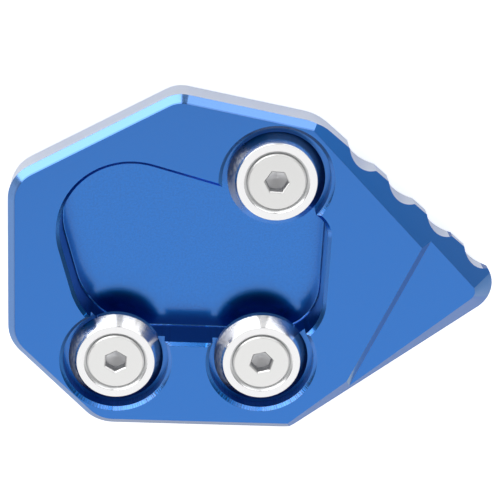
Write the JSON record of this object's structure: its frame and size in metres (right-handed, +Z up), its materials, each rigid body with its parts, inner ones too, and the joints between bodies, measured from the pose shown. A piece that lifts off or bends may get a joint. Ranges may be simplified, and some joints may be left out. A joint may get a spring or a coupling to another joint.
{
  "type": "kickstand foot enlarger",
  "caption": "Flat anodised plate with a chamfered pocket for a stand's foot, conical clamp washers with countersunk socket screws, and a scalloped, bevelled nose.",
  "frame": {"origin": "on the plate's flat ground face, under the middle of the bounding box of its outline", "axes": "+X along the plate's length towards its pointed nose, +Z up out of the pocket, +Y across the plate towards the single clamp"},
  "size_m": [0.0998, 0.0724, 0.0135],
  "materials": {
    "anodised_plate": "satin blue anodising",
    "polished_washer": "turned and polished steel",
    "screw_steel": "satin stainless steel"
  },
  "bodies": {
    "root": {"base_plate": "anodised_plate", "upper_clamp_washer": "polished_washer", "left_clamp_washer": "polished_washer", "middle_clamp_washer": "polished_washer", "upper_clamp_screw": "screw_steel", "left_clamp_screw": "screw_steel", "middle_clamp_screw": "screw_steel"}
  },
  "joints": []
}
